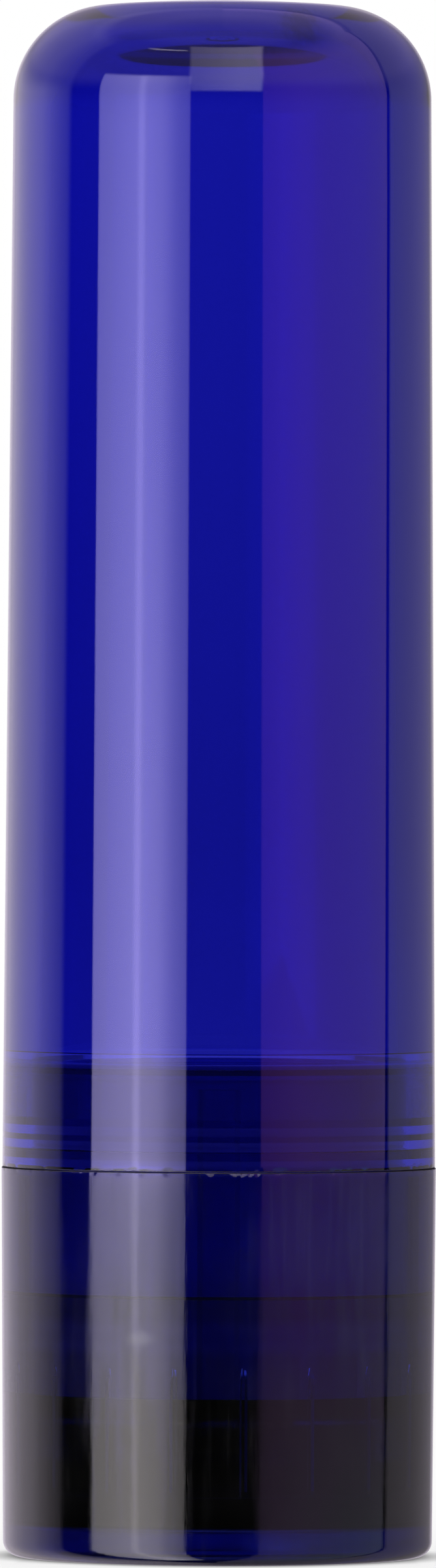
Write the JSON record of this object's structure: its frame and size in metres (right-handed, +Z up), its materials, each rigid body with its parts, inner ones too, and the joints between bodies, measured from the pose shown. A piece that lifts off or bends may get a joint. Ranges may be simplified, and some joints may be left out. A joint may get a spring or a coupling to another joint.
{
  "type": "lip balm stick",
  "caption": "Twist-up lip balm stick with a tall clear cap, a short base that turns, and a feed screw that raises the balm.",
  "frame": {"origin": "middle of the flat foot of the base, on the surface that the stick stands on", "axes": "+Z up along the stick's axis, towards the cap; -Y is the side that faces the viewer in the picture, and +X is to the viewer's right"},
  "size_m": [0.0196, 0.0196, 0.07],
  "materials": {
    "clear_blue": "polished transparent deep blue",
    "clear_blue_base": "polished transparent deep blue, worn",
    "barrel_blue": "smooth transparent deep blue",
    "inner_blue": "smooth translucent deep blue",
    "wax": "soft waxy"
  },
  "bodies": {
    "base": {"base_shell": "clear_blue_base", "insert": "inner_blue", "feed_screw": "inner_blue"},
    "barrel": {"barrel": "barrel_blue"},
    "carrier": {"carrier": "inner_blue", "balm": "wax"},
    "cap": {"cap": "clear_blue"}
  },
  "joints": [
    {"name": "barrel_turn", "type": "hinge", "parent": "base", "child": "barrel", "pos_m": [0, 0, 0.012], "axis": [0, 0, 1], "range_deg": [0, 990]},
    {"name": "carrier_rise", "type": "slide", "parent": "barrel", "child": "carrier", "axis": [0, 0, 1], "range_m": [0, 0.0111]},
    {"name": "cap_lift", "type": "slide", "parent": "barrel", "child": "cap", "axis": [0, 0, 1], "range_m": [0, 0.03]}
  ],
  "couplings": [
    {"joint": "carrier_rise", "follows": "barrel_turn", "m_per_rad": 0.00063662}
  ]
}
